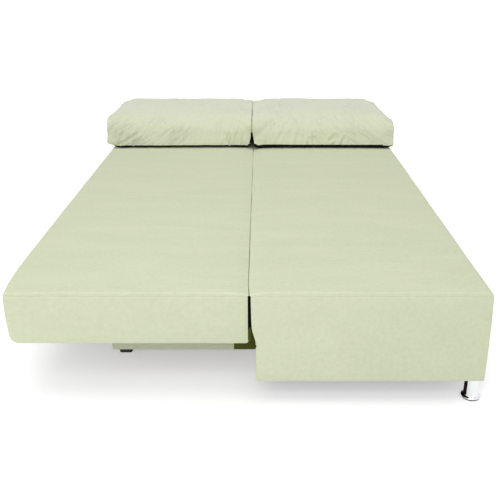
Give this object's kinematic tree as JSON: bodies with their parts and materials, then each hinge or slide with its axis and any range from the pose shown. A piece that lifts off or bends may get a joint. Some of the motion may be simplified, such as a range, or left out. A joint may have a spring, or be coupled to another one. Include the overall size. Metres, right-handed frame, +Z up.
{
  "type": "sofa bed",
  "caption": "Click clack sofa bed lying flat: a fixed seat block and a backrest folded down beside it, on a plinth and short feet, with loose cushions at one end.",
  "frame": {"origin": "on the floor under the middle of the bed's bounding box, lying flat; the fold line is 16 mm to +X of it", "axes": "+X from the backrest half to the seat half, which is the sofa's front; +Y along the bed to the end with the cushions; +Z up"},
  "size_m": [1.368, 2, 0.4958],
  "materials": {
    "suede_cloth": "pale sage green microfibre suede, matt",
    "cushion_cloth": "the same pale sage green suede cloth over soft filling",
    "foam": "cream upholstery foam",
    "lining_cloth": "black spunbonded lining",
    "timber": "planed pine, bare",
    "spring_steel": "bare spring wire",
    "zinc_steel": "zinc plated pressed steel",
    "chrome": "bright chrome plate",
    "black_plastic": "black moulded plastic",
    "rubber": "black rubber"
  },
  "bodies": {
    "base": {"seat_front_board": "timber", "seat_rear_board": "timber", "seat_centre_rail": "timber", "seat_cover": "suede_cloth", "seat_foam": "foam", "seat_base_cloth": "lining_cloth", "plinth_cover": "suede_cloth", "plinth_rear_board": "timber", "plinth_front_board": "timber", "seat_end_board_near": "timber", "seat_hinge_rail_near": "timber", "seat_corner_block_near": "timber", "plinth_end_board_near": "timber", "rest_pad_near": "rubber", "front_leg_near": "chrome", "front_leg_bolt_near": "zinc_steel", "rear_foot_near": "black_plastic", "rear_foot_bolt_near": "zinc_steel", "hinge_seat_plate_near": "zinc_steel", "hinge_pivot_bolt_near": "zinc_steel", "hinge_pivot_nut_near": "zinc_steel", "seat_end_board_far": "timber", "seat_hinge_rail_far": "timber", "seat_corner_block_far": "timber", "plinth_end_board_far": "timber", "rest_pad_far": "rubber", "front_leg_far": "chrome", "front_leg_bolt_far": "zinc_steel", "rear_foot_far": "black_plastic", "rear_foot_bolt_far": "zinc_steel", "hinge_seat_plate_far": "zinc_steel", "hinge_pivot_bolt_far": "zinc_steel", "hinge_pivot_nut_far": "zinc_steel", "seat_spring_1": "spring_steel", "seat_spring_2": "spring_steel", "seat_spring_3": "spring_steel", "seat_spring_4": "spring_steel", "seat_spring_5": "spring_steel"},
    "backrest": {"back_cover": "suede_cloth", "back_foam": "foam", "back_base_cloth": "lining_cloth", "back_outer_rail": "timber", "back_inner_rail": "timber", "back_centre_rail": "timber", "hinge_back_plate_near": "zinc_steel", "back_end_rail_near": "timber", "back_hinge_rail_near": "timber", "hinge_back_plate_far": "zinc_steel", "back_end_rail_far": "timber", "back_hinge_rail_far": "timber", "back_spring_1": "spring_steel", "back_spring_2": "spring_steel", "back_spring_3": "spring_steel", "back_spring_4": "spring_steel", "back_spring_5": "spring_steel"},
    "left_cushion": {"left_cushion": "cushion_cloth"},
    "right_cushion": {"right_cushion": "cushion_cloth"},
    "pawl_near": {"hinge_pawl_near": "zinc_steel"},
    "pawl_far": {"hinge_pawl_far": "zinc_steel"}
  },
  "joints": [
    {"name": "backrest_fold", "type": "hinge", "parent": "base", "child": "backrest", "pos_m": [-0.015, 0, 0.305], "axis": [0, 1, 0], "range_deg": [0, 75], "deforming": ["left_cushion", "right_cushion"]},
    {"name": "left_cushion_lift", "type": "slide", "parent": "backrest", "child": "left_cushion", "axis": [-0.8944, 0, 0.4472], "range_m": [0, 0.35]},
    {"name": "right_cushion_lift", "type": "slide", "parent": "base", "child": "right_cushion", "axis": [0.8944, 0, 0.4472], "range_m": [0, 0.35]},
    {"name": "pawl_near_drop", "type": "hinge", "parent": "base", "child": "pawl_near", "pos_m": [-0.037, -0.79, 0.281], "axis": [0, 1, 0], "range_deg": [-9, 0]},
    {"name": "pawl_far_drop", "type": "hinge", "parent": "base", "child": "pawl_far", "pos_m": [-0.037, 0.79, 0.281], "axis": [0, 1, 0], "range_deg": [-9, 0]}
  ],
  "couplings": [
    {"joint": "pawl_far_drop", "follows": "pawl_near_drop", "ratio": 1}
  ]
}
